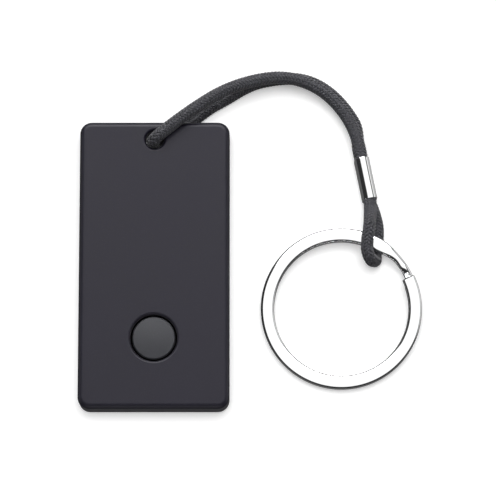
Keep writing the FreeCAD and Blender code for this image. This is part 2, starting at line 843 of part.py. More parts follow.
def build():
    return {
        "front_shell": front_shell(),
        "back_cover": back_cover(),
        "push_button": push_button(),
        "switch_base": switch_base(),
        "switch_cover": switch_cover(),
        "switch_dome": switch_dome(),
        "switch_plunger": switch_plunger(),
        "switch_terminals": switch_terminals(),
        "main_board": main_board(),
        "board_screws": board_screws(),
        "radio_chip": radio_chip(),
        "radio_crystal": lidded_can(8.0, -7.4, 2.5, 2.0, 0.6),
        "clock_crystal": lidded_can(8.0, -19.2, 3.2, 1.5, 0.8),
        "chip_antenna": chip_antenna(),
        "boost_inductor": boost_inductor(),
        "capacitors": capacitors(),
        "resistors": resistors(),
        "battery_can": battery_can(),
        "battery_cap": battery_cap(),
        "battery_gasket": battery_gasket(),
        "battery_cathode": battery_cathode(),
        "battery_separator": battery_separator(),
        "battery_anode": battery_anode(),
        "positive_contact": positive_contact(),
        "negative_contact": negative_contact(),
        "piezo_ring": piezo_ring(),
        "piezo_plate": piezo_plate(),
        "piezo_ceramic": piezo_ceramic(),
        "piezo_leads": piezo_leads(),
        "cord_hitch": cord_hitch(),
        "cord_link_1_front": cord_link(front_strand, 0),
        "cord_link_1_back": cord_link(back_strand, 0),
        "cord_link_2_front": cord_link(front_strand, 1),
        "cord_link_2_back": cord_link(back_strand, 1),
        "cord_end_front": ferrule_strand(front_strand),
        "cord_end_back": ferrule_strand(back_strand),
        "crimp_ferrule": crimp_ferrule(),
        "ring_loop": ring_loop(),
        "split_ring": split_ring(),
    }


os.makedirs("parts", exist_ok=True)
for name, shape in build().items():
    shape.exportStep(os.path.join("parts", name + ".step"))
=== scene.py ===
"""Tracker tag on a braided cord loop with a split ring: visual model and photo-angle scene."""
import json
import math

import bpy
import numpy as np
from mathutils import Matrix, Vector

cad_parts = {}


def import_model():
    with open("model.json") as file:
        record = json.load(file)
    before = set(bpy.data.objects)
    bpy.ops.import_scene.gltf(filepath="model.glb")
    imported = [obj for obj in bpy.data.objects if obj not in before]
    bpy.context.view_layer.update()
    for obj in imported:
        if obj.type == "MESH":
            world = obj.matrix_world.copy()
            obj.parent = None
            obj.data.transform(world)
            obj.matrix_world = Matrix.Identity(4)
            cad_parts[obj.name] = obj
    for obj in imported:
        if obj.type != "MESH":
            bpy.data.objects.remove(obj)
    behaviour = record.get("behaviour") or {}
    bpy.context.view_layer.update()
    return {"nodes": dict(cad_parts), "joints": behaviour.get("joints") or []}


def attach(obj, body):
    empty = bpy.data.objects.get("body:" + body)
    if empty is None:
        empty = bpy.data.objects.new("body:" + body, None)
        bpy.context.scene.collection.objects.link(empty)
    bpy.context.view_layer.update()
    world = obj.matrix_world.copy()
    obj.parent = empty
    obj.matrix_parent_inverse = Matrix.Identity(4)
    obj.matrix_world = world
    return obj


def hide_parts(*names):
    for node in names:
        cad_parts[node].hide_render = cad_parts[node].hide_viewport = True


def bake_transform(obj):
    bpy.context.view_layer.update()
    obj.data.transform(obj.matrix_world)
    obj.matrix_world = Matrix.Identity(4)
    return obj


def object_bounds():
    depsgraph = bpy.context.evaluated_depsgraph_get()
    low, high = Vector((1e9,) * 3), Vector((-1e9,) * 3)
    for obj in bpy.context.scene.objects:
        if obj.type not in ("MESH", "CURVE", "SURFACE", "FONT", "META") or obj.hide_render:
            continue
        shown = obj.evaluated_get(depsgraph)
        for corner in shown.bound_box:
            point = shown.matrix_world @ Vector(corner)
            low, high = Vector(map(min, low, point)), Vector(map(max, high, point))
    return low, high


MM = 0.001
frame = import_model()
joint_at = {j["name"]: np.array(j.get("pos_m", (0, 0, 0)), float) / MM for j in frame["joints"]}
joint_axis = {j["name"]: np.array(j["axis"], float) for j in frame["joints"]}

# ---------------------------------------------------------------- cord path (mm)
# In plan the cord leaves the tag's hole straight, follows arcs of (radius, degrees), then runs
# straight into the ferrule. The front strand leaves above the tag, the back strand below it.
HOLE = joint_at["cord_swing"]
CORD_R = 1.1
CORD_HEADING = 39.3
CORD_ARCS = ((95.0, 6.4), (29.3, 24.1), (13.8, 48.7), (17.2, 39.0))
RUN_OUT = 2.0
RUN_IN = 2.0
CORD_LENGTH = RUN_OUT + sum(r * math.radians(t) for r, t in CORD_ARCS) + RUN_IN
FLEX_AT = (13.0, 26.5, 40.0)
PATH_STEP = 0.1
RELAX_BEFORE = 6
RELAX_AFTER = 4
# The turn through the tag: two quarter bends and a straight pass, set back in the hole.
BEND_R = 1.6
BEND_SHIFT = 0.5
BEND_SAMPLES = 24
PASS_SAMPLES = 32
# Each strand keeps its height up to a length, then eases to its place in the ferrule.
FRONT_Z = 7.55
BACK_Z = 1.15
FRONT_LEVEL_TO = 8.0
BACK_LEVEL_TO = 38.0
LEVEL_BEFORE_FERRULE = 3.0
FERRULE_L = 8.0
FERRULE_Z = 2.53
STRAND_HALF_PITCH = 1.11
UPPER_Z = FERRULE_Z + STRAND_HALF_PITCH
LOWER_Z = FERRULE_Z - STRAND_HALF_PITCH
# (length, offset to the left) of the back strand against the front one.
BACK_OFFSET = (
    (2.0, 0.0), (6.0, -0.8), (14.0, -0.5), (24.0, 0.65), (33.0, 1.25), (43.0, 1.0), (48.2, 0.0),
)
# The small loop, as (past the ferrule's mouth, to the left, height), and its rounded far end.
LOOP_LEAD = 1.5
LOOP_TURN_AT = 9.45
LOOP_END_REACH = 0.80
LOOP_END_SQUARE = 0.72
LOOP_END_SAMPLES = 60
LOOP_UPPER = (
    (0.0, 0.0, UPPER_Z),
    (2.4, -0.5, 4.3),
    (4.3, -1.0, 5.6),
    (5.9, -1.5, 6.45),
    (7.6, -2.15, 6.55),
    (LOOP_TURN_AT, -2.65, 6.2),
)
LOOP_LOWER = (
    (0.0, 0.0, LOWER_Z),
    (2.5, 0.4, 1.2),
    (5.0, 0.5, 1.15),
    (7.6, -0.05, 1.15),
    (LOOP_TURN_AT, -0.9, 1.2),
)


def plan_at(s):
    """Plan position and heading (radians) at a length along the cord path."""
    heading = math.radians(CORD_HEADING)
    run = min(s, RUN_OUT)
    x = HOLE[0] + run * math.cos(heading)
    y = HOLE[1] + run * math.sin(heading)
    s -= run
    for radius, turn in CORD_ARCS:
        part = min(s, radius * math.radians(turn))
        turned = part / radius
        chord = 2 * radius * math.sin(turned / 2)
        x += chord * math.cos(heading - turned / 2)
        y += chord * math.sin(heading - turned / 2)
        heading -= turned
        s -= part
        if s <= 0:
            return x, y, heading
    return x + s * math.cos(heading), y + s * math.sin(heading), heading


def plan_vector(s, z):
    """A place in metres over the cord path, at a length along it and a height in millimetres."""
    x, y, _ = plan_at(s)
    return Vector((x, y, z)) * MM


def smooth(t):
    """Eased value between 0 and 1."""
    t = min(max(t, 0.0), 1.0)
    return t * t * (3 - 2 * t)


def ease(keys, s):
    """Smooth steps between (length, value) keys."""
    if s <= keys[0][0]:
        return keys[0][1]
    for (s0, v0), (s1, v1) in zip(keys, keys[1:]):
        if s <= s1:
            return v0 + (v1 - v0) * smooth((s - s0) / (s1 - s0))
    return keys[-1][1]


def strand_point(s, front):
    """A point on the front or back strand."""
    x, y, heading = plan_at(s)
    if front:
        level, level_to, end, left = FRONT_Z, FRONT_LEVEL_TO, UPPER_Z, 0.0
    else:
        level, level_to, end, left = BACK_Z, BACK_LEVEL_TO, LOWER_Z, ease(BACK_OFFSET, s)
    z = ease(((level_to, level), (CORD_LENGTH - LEVEL_BEFORE_FERRULE, end)), s)
    return (x - left * math.sin(heading), y + left * math.cos(heading), z)


def tag_loop_path():
    """The whole cord loop through the tag's hole, ferrule to ferrule, and a key at each point.

    The key is the length from the hole, negative on the back strand and zero inside the hole.
    """
    heading = math.radians(CORD_HEADING)
    bend_start = BEND_R - BEND_SHIFT
    top, bottom = FRONT_Z - BEND_R, BACK_Z + BEND_R
    along = np.arange(CORD_LENGTH + FERRULE_L / 2, bend_start, -PATH_STEP)
    quarter = np.linspace(0, math.pi / 2, BEND_SAMPLES)

    def at(a, z):
        """A point over the line that the cord leaves along, a past the hole."""
        return (HOLE[0] + a * math.cos(heading), HOLE[1] + a * math.sin(heading), z)

    def bend(angle, middle, way):
        """A point on a quarter bend, whose centre is at height middle; way is 1 above, -1 below."""
        return at(bend_start - BEND_R * math.sin(angle), middle + way * BEND_R * math.cos(angle))

    through = [bend(angle, top, 1) for angle in quarter]
    through += [at(-BEND_SHIFT, z) for z in np.linspace(top, bottom, PASS_SAMPLES)[1:-1]]
    through += [bend(angle, bottom, -1) for angle in quarter[::-1]]
    front = [strand_point(s, True) for s in along]
    back = [strand_point(s, False) for s in along[::-1]]
    return np.array(front + through + back), np.r_[along, np.zeros(len(through)), -along[::-1]]


def catmull(points, step):
    """A smooth line through points, sampled about every step."""
    p = np.array(points, float)
    p = np.vstack([2 * p[0] - p[1], p, 2 * p[-1] - p[-2]])
    out = []
    for i in range(1, len(p) - 2):
        a, b, c, d = p[i - 1:i + 3]
        n = max(2, int(np.linalg.norm(c - b) / step))
        for t in np.arange(n) / n:
            out.append(0.5 * (2 * b + (c - a) * t + (2 * a - 5 * b + 4 * c - d) * t ** 2
                              + (3 * b - a - 3 * c + d) * t ** 3))
    out.append(p[-2])
    return np.array(out)


def ferrule_frame(points):
    """Carry points drawn at the ferrule mouth, with X past the mouth, into place."""
    x, y, heading = plan_at(CORD_LENGTH + FERRULE_L)
    c, s = math.cos(heading), math.sin(heading)
    p = np.array(points, float)
    return np.stack([x + p[:, 0] * c - p[:, 1] * s, y + p[:, 0] * s + p[:, 1] * c, p[:, 2]], 1)


def ring_loop_path():
    """The small loop past the ferrule, from inside the ferrule and back."""
    lead = (-FERRULE_L / 2, -LOOP_LEAD)
    upper = [(x, 0, UPPER_Z) for x in lead] + list(LOOP_UPPER)
    lower = list(LOOP_LOWER[::-1]) + [(x, 0, LOWER_Z) for x in lead[::-1]]
    top, bottom = np.array(LOOP_UPPER[-1]), np.array(LOOP_LOWER[-1])
    middle, arm = (top + bottom) / 2, (top - bottom) / 2
    reach = np.array((np.linalg.norm(arm) * LOOP_END_REACH, 0, 0))
    turn = []
    for angle in np.linspace(0, math.pi, LOOP_END_SAMPLES)[1:-1]:
        across = math.copysign(abs(math.cos(angle)) ** LOOP_END_SQUARE, math.cos(angle))
        turn.append(middle + arm * across + reach * math.sin(angle) ** LOOP_END_SQUARE)
    return ferrule_frame(np.vstack([catmull(upper, PATH_STEP), turn, catmull(lower, PATH_STEP)]))


def relaxed(points, passes):
    """Points drawn towards the middle of their neighbours, with both ends kept."""
    for _ in range(passes):
        points[1:-1] = points[1:-1] * 0.5 + (points[:-2] + points[2:]) * 0.25
    return points


def resample(points, step):
    """Evenly spaced points along a relaxed line, their lengths, and the old points' lengths."""
    points = relaxed(points, RELAX_BEFORE)
    length = np.r_[0, np.cumsum(np.linalg.norm(np.diff(points, axis=0), axis=1))]
    at = np.linspace(0, length[-1], int(round(length[-1] / step)) + 1)
    out = np.stack([np.interp(at, length, points[:, i]) for i in range(3)], 1)
    return relaxed(out, RELAX_AFTER), at, length


def side_ways(points):
    """Two directions across a line at each point, carried along it without twist."""
    tangent = np.gradient(points, axis=0)
    tangent /= np.linalg.norm(tangent, axis=1)[:, None]
    normal = np.zeros_like(points)
    n = np.cross(tangent[0], (0.0, 0.0, 1.0))
    for i, t in enumerate(tangent):
        n = n - t * np.dot(n, t)
        n /= np.linalg.norm(n)
        normal[i] = n
    return normal, np.cross(tangent, normal)


# ---------------------------------------------------------------- mesh helpers
def mesh_object(name, verts_mm, quads, uv=None, shade_smooth=True):
    """A mesh object in the frame's metres from millimetre vertices and quads."""
    mesh = bpy.data.meshes.new(name)
    faces = [tuple(dict.fromkeys(face)) for face in np.asarray(quads).tolist()]
    mesh.from_pydata((np.asarray(verts_mm) * MM).tolist(), [], faces)
    mesh.update()
    if shade_smooth:
        mesh.polygons.foreach_set("use_smooth", [True] * len(mesh.polygons))
    if uv is not None:
        layer = mesh.uv_layers.new(name="UVMap")
        layer.data.foreach_set("uv", np.asarray(uv, np.float32).ravel())
    obj = bpy.data.objects.new(name, mesh)
    bpy.context.scene.collection.objects.link(obj)
    return obj


def grid_quads(rows, cols, base=0):
    """Quads over rows of vertices that each close on themselves."""
    row = base + np.arange(rows - 1)[:, None] * cols
    j = np.arange(cols)[None, :]
    k = (j + 1) % cols
    return np.stack([row + j, row + k, row + cols + k, row + cols + j], -1).reshape(-1, 4)


def fan(cols, base, hub, flip):
    """Triangles, written as quads with a doubled corner, that close one end of a tube."""
    out = []
    for j in range(cols):
        k = (j + 1) % cols
        out.append((base + j, hub, hub, base + k) if flip else (base + k, hub, hub, base + j))
    return np.array(out)


def tube_uv(rows, cols, length):
    """UVs for grid_quads: u round the section, v along it in millimetres."""
    i, j = np.meshgrid(np.arange(rows - 1), np.arange(cols), indexing="ij")
    u0, u1 = j / cols, (j + 1) / cols
    v0, v1 = length[i], length[i + 1]
    return np.stack([u0, v0, u1, v0, u1, v1, u0, v1], -1).reshape(-1, 2)


# ---------------------------------------------------------------- braided cord (mm)
# Yarns run round the cord both ways, one turn per LEAD, and pass over and under each other.
LEAD = 5.04
CARRIERS = 8
STEP = LEAD / 48
YARN_HALF_W = 0.235
YARN_HALF_T = 0.13
YARN_ROUND = 0.8
YARN_SIDES = 8
WAVE = 0.105
WAVE_FLAT = 1.25
WAVE_SHIFT = 0.5
MID_R = CORD_R - YARN_HALF_T - WAVE
CORE_INSET = 0.12
CORE_SIDES = 14
CORE_SKIP = 3
YARN_UV_SHIFT = 1.7
WAY_UV_SHIFT = 31.0
# The braid swells in the open, flares beside the ferrule and is pinched inside it.
SWELL = 1.09
PINCH = 0.97
PINCH_FADE = 0.5
FLARE_AT = 1.5
FLARE_REACH = 3.5
CORD_FLARE = 0.05
LOOP_FLARE = 0.03
# Below the tag it is slimmer, back to full over a fade that ends past the tag's edge.
UNDER_TAG_SLIM = 0.14
UNDER_TAG_TO = 17.0
UNDER_TAG_FADE = 4.0


def power(values, exponent):
    """Values raised to a power, with their signs kept."""
    return np.sign(values) * np.abs(values) ** exponent


def yarn(points, normal, binormal, at, swell, carrier, way):
    """Vertices of one yarn of the braid along a stretch of centre line."""
    angle = way * 2 * math.pi * at / LEAD + 2 * math.pi * carrier / CARRIERS
    crossings = at * 2 * CARRIERS / LEAD
    wave = np.cos(math.pi / 2 * (2 * carrier + way * crossings - WAVE_SHIFT)) * way
    radius = (MID_R + WAVE * np.clip(wave * WAVE_FLAT, -1, 1)) * swell
    out = normal * np.cos(angle)[:, None] + binormal * np.sin(angle)[:, None]
    centre = points + out * radius[:, None]
    along = np.gradient(centre, axis=0)
    along /= np.linalg.norm(along, axis=1)[:, None]
    side = np.cross(along, out)
    side /= np.linalg.norm(side, axis=1)[:, None]
    up = np.cross(side, along)
    turn = np.arange(YARN_SIDES) * 2 * math.pi / YARN_SIDES
    fat = swell[:, None, None]
    wide = power(np.cos(turn), YARN_ROUND)[None, :, None] * YARN_HALF_W * fat
    thick = power(np.sin(turn), YARN_ROUND)[None, :, None] * YARN_HALF_T * fat
    return (centre[:, None, :] + side[:, None, :] * wide + up[:, None, :] * thick).reshape(-1, 3)


def core(points, normal, binormal, swell):
    """Vertices of the plain tube inside the yarns that keeps light from passing between them."""
    turn = np.arange(CORE_SIDES) * 2 * math.pi / CORE_SIDES
    reach = swell[:, None, None] * (MID_R - CORE_INSET)
    tube = (points[:, None, :]
            + normal[:, None, :] * np.cos(turn)[None, :, None] * reach
            + binormal[:, None, :] * np.sin(turn)[None, :, None] * reach)
    return tube[::CORE_SKIP].reshape(-1, 3)


def swell_by(outside, flare):
    """How much fatter the cord is than drawn, from its signed distance outside the ferrule."""
    inside = np.clip(-outside / PINCH_FADE, 0, 1)
    beside = np.clip(1 - np.abs(outside - FLARE_AT) / FLARE_REACH, 0, 1)
    base = SWELL + flare * beside * beside * (3 - 2 * beside)
    return base * (1 - inside) + PINCH * inside


def braid(name, path, stretches):
    """A braided cord piece over one or more stretches of a path's samples."""
    points, at, swell = path
    normal, binormal = side_ways(points)
    tubes = []
    for first, last in stretches:
        cut = slice(first, last + 1)
        line = (points[cut], normal[cut], binormal[cut])
        for way in (1, -1):
            for carrier in range(CARRIERS):
                shift = carrier * YARN_UV_SHIFT + way * WAY_UV_SHIFT
                tubes.append((yarn(*line, at[cut], swell[cut], carrier, way), YARN_SIDES, at[cut] + shift))
        tubes.append((core(*line, swell[cut]), CORE_SIDES, at[cut][::CORE_SKIP]))
    verts, quads, uvs, base = [], [], [], 0
    for tube, sides, length in tubes:
        verts.append(tube)
        quads.append(grid_quads(len(length), sides, base))
        uvs.append(tube_uv(len(length), sides, length))
        base += len(tube)
    return mesh_object(name, np.vstack(verts), np.vstack(quads), np.vstack(uvs))


def between(keys, low, high):
    """The first and last sample whose key lies between two path lengths."""
    found = np.where((keys >= low) & (keys <= high))[0]
    return int(found[0]), int(found[-1])


def tag_cord():
    """The cord from ferrule to ferrule through the tag: one braid in three pieces."""
    line, marks = tag_loop_path()
    points, at, length = resample(line, STEP)
    keys = np.interp(at, length, marks)
    under_tag = np.clip((keys + UNDER_TAG_TO) / UNDER_TAG_FADE, 0, 1) * (keys < 0)
    swell = swell_by(CORD_LENGTH - np.abs(keys), CORD_FLARE) - UNDER_TAG_SLIM * under_tag
    path = (points, at, swell)
    root_end = (FLEX_AT[0] + FLEX_AT[1]) / 2
    middle_end = (FLEX_AT[1] + FLEX_AT[2]) / 2
    cord_end = CORD_LENGTH + FERRULE_L / 2
    root = between(keys, -root_end, root_end)
    front = between(keys, middle_end, cord_end)
    back = between(keys, -cord_end, -middle_end)
    return (
        braid("cord_braid_root", path, [root]),
        braid("cord_braid_middle", path, [(front[1], root[0]), (root[1], back[0])]),
        braid("cord_braid_last", path, [front, back]),
    )


def ring_cord():
    """The small loop of cord that holds the split ring."""
    points, at, _ = resample(ring_loop_path(), STEP)
    past_mouth = np.minimum(at, at[-1] - at) - FERRULE_L / 2
    path = (points, at, swell_by(past_mouth, LOOP_FLARE))
    return braid("cord_braid_ring_loop", path, [(0, len(points) - 1)])


cord_root, cord_middle, cord_last = tag_cord()
cord_loop = ring_cord()

BLEND_REACH = 5.7
BLEND_Z = 4.0
LOOP_BLEND_REACH = 4.5
for piece, body, next_body, flex_at in (
        (cord_root, "cord_root", "cord_link_1", FLEX_AT[0]),
        (cord_middle, "cord_link_1", "cord_link_2", FLEX_AT[1]),
        (cord_last, "cord_link_2", "cord_end", FLEX_AT[2])):
    plan_vector(flex_at - BLEND_REACH, BLEND_Z)
    plan_vector(flex_at + BLEND_REACH, BLEND_Z)
    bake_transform(piece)
mouth = CORD_LENGTH + FERRULE_L
plan_vector(mouth, FERRULE_Z)
plan_vector(mouth + LOOP_BLEND_REACH, FERRULE_Z)
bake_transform(cord_loop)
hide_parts("cord_hitch")
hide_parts("cord_link_1_front", "cord_link_1_back")
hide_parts("cord_link_2_front", "cord_link_2_back", "cord_end_front", "cord_end_back")
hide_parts("ring_loop")

# ---------------------------------------------------------------- ferrule (mm)
FERRULE_WALL = 0.28
FERRULE_BORE = 1.12
FERRULE_WAIST = 0.02
FERRULE_ROWS = 33
LIP_ROWS = 9
HALF_ROUND_SAMPLES = 33


def oval_ring(radius):
    """Points round an upright oval: half circles above and below, straight sides."""
    out = []
    for middle, start in ((UPPER_Z, 0.0), (LOWER_Z, math.pi)):
        for a in start + np.linspace(0, math.pi, HALF_ROUND_SAMPLES):
            out.append((radius * math.cos(a), middle + radius * math.sin(a)))
    return out


def ferrule_mesh():
    """Rings along the outside, round one lip, back through the bore and round the other lip."""
    outer = FERRULE_BORE + FERRULE_WALL
    lip = FERRULE_WALL / 2
    profile = []
    for t in np.linspace(0, 1, FERRULE_ROWS):
        waist = FERRULE_WAIST * math.sin(math.pi * t)
        profile.append((-FERRULE_L + lip + (FERRULE_L - 2 * lip) * t, outer - waist))
    for a in np.linspace(math.pi / 2, -math.pi / 2, LIP_ROWS)[1:]:
        profile.append((-lip + lip * math.cos(a), outer - lip + lip * math.sin(a)))
    for t in np.linspace(0, 1, LIP_ROWS)[1:]:
        profile.append((-lip - (FERRULE_L - 2 * lip) * t, FERRULE_BORE))
    for a in np.linspace(-math.pi / 2, -1.5 * math.pi, LIP_ROWS)[1:]:
        profile.append((-FERRULE_L + lip + lip * math.cos(a), outer - lip + lip * math.sin(a)))
    points = [(x, across, up) for x, radius in profile for across, up in oval_ring(radius)]
    quads = grid_quads(len(profile), 2 * HALF_ROUND_SAMPLES)
    return mesh_object("ferrule_tube", ferrule_frame(points), quads)


ferrule = ferrule_mesh()
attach(ferrule, "cord_end")
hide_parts("crimp_ferrule")

# ---------------------------------------------------------------- split ring (mm, degrees)
RING_C = joint_at["ring_spin"]
RING_N = joint_axis["ring_spin"] / np.linalg.norm(joint_axis["ring_spin"])
RING_R = 15.0
WIRE_W = 2.5
WIRE_T = 1.28
WIRE_EDGE_R = 0.58
WIRE_QUARTER = 11
PITCH = 1.3
COIL_ROWS = 330
END_ROUND = 0.1
END_ROUND_ANGLE = 0.5
# The step between the coils runs from JOG_START back to TOP_END, where the top coil's free end
# lies. Shares and places along it run from 0 to 1; each drop is (share, start, run).
TOP_END = 25.0
JOG_START = 60.0
JOG_ROWS = 90
NECK_IN = 0.72
NECK_OUT = 0.20
NECK_RUN = 0.6
NECK_THINNING = 0.05
OVAL_START = 0.15
OVAL_RUN = 0.65
DROPS = ((0.45, 0.22, 0.5), (0.55, 0.72, 0.29))
WIDEN_START = 1.0
WIDEN_RUN = 6.0


def wire_section(half_w, half_t, oval):
    """A flat wire's outline about its middle; oval runs from 0, flat faced, to 1, elliptical."""
    out = []
    for i in range(4 * WIRE_QUARTER):
        a = math.radians(90 * i / WIRE_QUARTER)
        quarter, turn = divmod(i, WIRE_QUARTER)
        corner = math.radians(90 * (quarter + turn / (WIRE_QUARTER - 1)))
        sign_w = 1 if quarter in (0, 3) else -1
        sign_t = 1 if quarter in (0, 1) else -1
        w = sign_w * (half_w - WIRE_EDGE_R) + WIRE_EDGE_R * math.cos(corner)
        t = sign_t * (half_t - WIRE_EDGE_R) + WIRE_EDGE_R * math.sin(corner)
        w = w * (1 - oval) + half_w * math.cos(a) * oval
        t = t * (1 - oval) + half_t * math.sin(a) * oval
        out.append((w, t))
    return out


def ring_station(angle, height, end, narrow, oval):
    """(angle, height, inner radius, outer radius, oval) with the wire rounded off and narrowed."""
    inner = RING_R - WIRE_W + END_ROUND * end + NECK_IN * narrow
    outer = RING_R - END_ROUND * end - NECK_OUT * narrow
    return angle, height, inner, outer, oval


def end_rounding(from_end):
    """How far the wire's end is rounded off, 1 at the end itself and 0 past the rounding."""
    return 1 - math.sqrt(max(0.0, 1 - (1 - min(from_end / END_ROUND_ANGLE, 1)) ** 2))


def ring_stations():
    """Stations along the wire: the top coil, the step down, then the bottom coil."""
    span = JOG_START - TOP_END
    coil = np.linspace(0, 360 - span, COIL_ROWS)
    out = [ring_station(TOP_END - a, PITCH / 2, end_rounding(a), 0.0, 0.0) for a in coil]
    for t in np.linspace(0, 1, JOG_ROWS)[1:-1]:
        drop = sum(share * smooth((t - start) / run) for share, start, run in DROPS)
        oval = smooth((t - OVAL_START) / OVAL_RUN)
        out.append(ring_station(JOG_START - span * t, PITCH * (0.5 - drop), 0.0, smooth(t / NECK_RUN), oval))
    for a in coil:
        narrow = 1 - smooth((a - WIDEN_START) / WIDEN_RUN)
        out.append(ring_station(TOP_END - a, -PITCH / 2, end_rounding(coil[-1] - a), narrow, narrow))
    return out


def ring_mesh():
    """One flat wire in two coils, narrowing and rounding where it steps down."""
    across = np.array((1.0, 0.0, 0.0)) - RING_N * RING_N[0]
    across /= np.linalg.norm(across)
    upward = np.cross(RING_N, across)
    rows = []
    for angle, height, inner, outer, oval in ring_stations():
        a = math.radians(angle)
        out = across * math.cos(a) + upward * math.sin(a)
        middle, half_w = (inner + outer) / 2, (outer - inner) / 2
        half_t = WIRE_T / 2 - (WIRE_W / 2 - half_w) * NECK_THINNING
        section = wire_section(half_w, half_t, oval)
        rows.append([RING_C + out * (middle + w) + RING_N * (height + t) for w, t in section])
    rows = np.array(rows)
    count, cols = rows.shape[:2]
    size = count * cols
    verts = np.vstack([rows.reshape(-1, 3), rows[0].mean(0), rows[-1].mean(0)])
    ends = [fan(cols, 0, size, False), fan(cols, size - cols, size + 1, True)]
    return mesh_object("split_ring_wire", verts, np.vstack([grid_quads(count, cols), *ends]))


ring = ring_mesh()
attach(ring, "ring")
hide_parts("split_ring")


# ---------------------------------------------------------------- material helpers
def nodes_of(name):
    """A new material with its node tree and its main shader."""
    mat = bpy.data.materials.new(name)
    mat.use_nodes = True
    return mat, mat.node_tree, mat.node_tree.nodes["Principled BSDF"]


def add(tree, kind, **values):
    """A node with its named inputs or properties set."""
    node = tree.nodes.new(kind)
    for key, value in values.items():
        if key in node.inputs:
            node.inputs[key].default_value = value
        else:
            setattr(node, key, value)
    return node


def maths(tree, operation, *values):
    """The result of an arithmetic node; each value is a number or another node's output."""
    node = add(tree, "ShaderNodeMath", operation=operation)
    for socket, value in zip(node.inputs, values):
        if isinstance(value, bpy.types.NodeSocket):
            tree.links.new(value, socket)
        else:
            socket.default_value = value
    return node.outputs[0]


def dot_with(tree, vector, direction):
    """The dot product of a vector output with a fixed direction."""
    node = add(tree, "ShaderNodeVectorMath", operation="DOT_PRODUCT")
    tree.links.new(vector, node.inputs[0])
    node.inputs[1].default_value = direction
    return node.outputs["Value"]


def split_xyz(tree, vector):
    """The X, Y and Z outputs of a vector."""
    node = add(tree, "ShaderNodeSeparateXYZ")
    tree.links.new(vector, node.inputs["Vector"])
    return node.outputs


def coords(tree, stretch=(1, 1, 1)):
    """Object coordinates, scaled on each axis."""
    source = add(tree, "ShaderNodeTexCoord")
    mapping = add(tree, "ShaderNodeMapping")
    mapping.inputs["Scale"].default_value = stretch
    tree.links.new(source.outputs["Object"], mapping.inputs["Vector"])
    return mapping.outputs["Vector"]


def noise(tree, vector, size_mm, detail):
    """Noise with features of about a size in millimetres."""
    node = add(tree, "ShaderNodeTexNoise", Scale=1 / (size_mm * MM), Detail=detail, Roughness=0.55)
    tree.links.new(vector, node.inputs["Vector"])
    return node.outputs["Fac"]


def ramp(tree, value, low, high, out_low, out_high):
    """A value carried from one range to another and kept inside it."""
    node = add(tree, "ShaderNodeMapRange")
    for key, v in (("From Min", low), ("From Max", high), ("To Min", out_low), ("To Max", out_high)):
        node.inputs[key].default_value = v
    tree.links.new(value, node.inputs["Value"])
    return node.outputs["Result"]


def mottle(tree, cloud, out_low, out_high):
    """Noise with its middle range spread over the whole of another."""
    return ramp(tree, cloud, 0.3, 0.7, out_low, out_high)


def tint(tree, value, colour_a, colour_b):
    """A colour between two, each a fixed colour or another node's output."""
    node = add(tree, "ShaderNodeMix", data_type="RGBA")
    for socket, colour in ((node.inputs[6], colour_a), (node.inputs[7], colour_b)):
        if isinstance(colour, bpy.types.NodeSocket):
            tree.links.new(colour, socket)
        else:
            socket.default_value = (*colour, 1)
    tree.links.new(value, node.inputs[0])
    return node.outputs[2]


def bump(tree, shader, height, distance_mm, strength=1.0):
    """Relief on a shader, from a height between 0 and 1."""
    node = add(tree, "ShaderNodeBump", Strength=strength, Distance=distance_mm * MM)
    tree.links.new(height, node.inputs["Height"])
    tree.links.new(node.outputs["Normal"], shader.inputs["Normal"])


def mix_shaders(tree, ray_kind, other, seen):
    """One shader for one kind of ray, and another for the rest."""
    mix = add(tree, "ShaderNodeMixShader")
    tree.links.new(add(tree, "ShaderNodeLightPath").outputs[ray_kind], mix.inputs["Fac"])
    tree.links.new(other.outputs[0], mix.inputs[1])
    tree.links.new(seen.outputs[0], mix.inputs[2])
    return mix


def scaled(colour, by):
    """A colour made lighter or darker, with no channel over 1."""
    return tuple(min(1.0, c * by) for c in colour)


# ---------------------------------------------------------------- materials
BLOTCH_GRAINS = 14
SURFACE_WEAR = 0.08
LEAST_ROUGH = 0.02


def surface(name, colour, rough, metal, vary, grain, depth, stretch=(1, 1, 1), coat=0.0):
    """A material with mottled colour, uneven roughness and a fine grained bump (mm)."""
    mat, tree, shader = nodes_of(name)
    vector = coords(tree, stretch)
    broad = noise(tree, vector, grain * BLOTCH_GRAINS, 4)
    blotch = mottle(tree, broad, 0, 1)
    colours = tint(tree, blotch, scaled(colour, 1 - vary), scaled(colour, 1 + vary))
    tree.links.new(colours, shader.inputs["Base Color"])
    worn = mottle(tree, broad, max(LEAST_ROUGH, rough - SURFACE_WEAR), rough + SURFACE_WEAR)
    tree.links.new(worn, shader.inputs["Roughness"])
    shader.inputs["Metallic"].default_value = metal
    shader.inputs["Coat Weight"].default_value = coat
    bump(tree, shader, noise(tree, vector, grain, 3), depth)
    return mat


DUST = (0.3, 0.3, 0.32)
# Near black painted as shade on a button's sides down in its gap.
PAINTED_GAP_SHADE = (0.001, 0.001, 0.0012)
RUB_STRETCH = (0.06, 1.3, 1)


